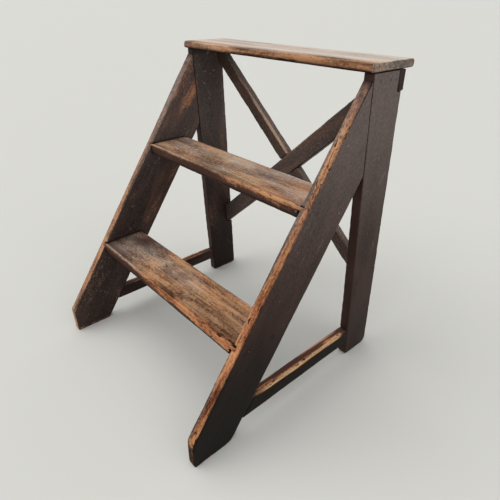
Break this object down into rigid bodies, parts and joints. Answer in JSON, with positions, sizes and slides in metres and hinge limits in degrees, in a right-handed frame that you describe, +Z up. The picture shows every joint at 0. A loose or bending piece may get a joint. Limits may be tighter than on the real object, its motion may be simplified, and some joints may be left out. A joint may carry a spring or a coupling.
{
  "type": "step stool",
  "caption": "Fixed wooden step stool: leaning stringers with housed treads, a nosed top board on rear legs, low side rails and a halved cross brace at the back.",
  "frame": {"origin": "on the floor, under the middle of the footprint", "axes": "+Z up, the steps face -Y, and +X is the side on the right of somebody standing in front and facing the steps"},
  "size_m": [0.508, 0.5027, 0.631],
  "materials": {
    "top_board": "softwood worn to a pale grey-tan, remains of dark stain, rounded nosing",
    "tread": "softwood worn to tan-brown with open grain and dark remains of stain",
    "side": "old near-black brown stain and paint, satin, worn through along the edges",
    "foot_rail": "dark stain, upper edge worn to pale bare wood",
    "brace": "dark reddish-brown stain, edges worn",
    "nail": "oxidised iron nail heads, dull grey; colour guessed, the heads are too small to measure"
  },
  "bodies": {
    "root": {"brace_low_left": "brace", "brace_low_right": "brace", "left_foot_rail": "foot_rail", "left_rear_leg": "side", "left_stringer": "side", "lower_tread": "tread", "middle_tread": "tread", "nail_brace_low_left_foot_1": "nail", "nail_brace_low_left_foot_2": "nail", "nail_brace_low_left_head": "nail", "nail_brace_low_right_foot_1": "nail", "nail_brace_low_right_foot_2": "nail", "nail_brace_low_right_head": "nail", "nail_crossing": "nail", "nail_lower_left_1": "nail", "nail_lower_left_2": "nail", "nail_lower_left_3": "nail", "nail_lower_right_1": "nail", "nail_lower_right_2": "nail", "nail_lower_right_3": "nail", "nail_middle_left_1": "nail", "nail_middle_left_2": "nail", "nail_middle_left_3": "nail", "nail_middle_right_1": "nail", "nail_middle_right_2": "nail", "nail_middle_right_3": "nail", "nail_nosing": "nail", "nail_seam_left_1": "nail", "nail_seam_left_2": "nail", "nail_seam_right_1": "nail", "nail_seam_right_2": "nail", "nail_top_left_1": "nail", "nail_top_left_2": "nail", "nail_top_left_3": "nail", "nail_top_right_1": "nail", "nail_top_right_2": "nail", "nail_top_right_3": "nail", "right_foot_rail": "foot_rail", "right_rear_leg": "side", "right_stringer": "side", "top_tread": "top_board"}
  },
  "joints": []
}
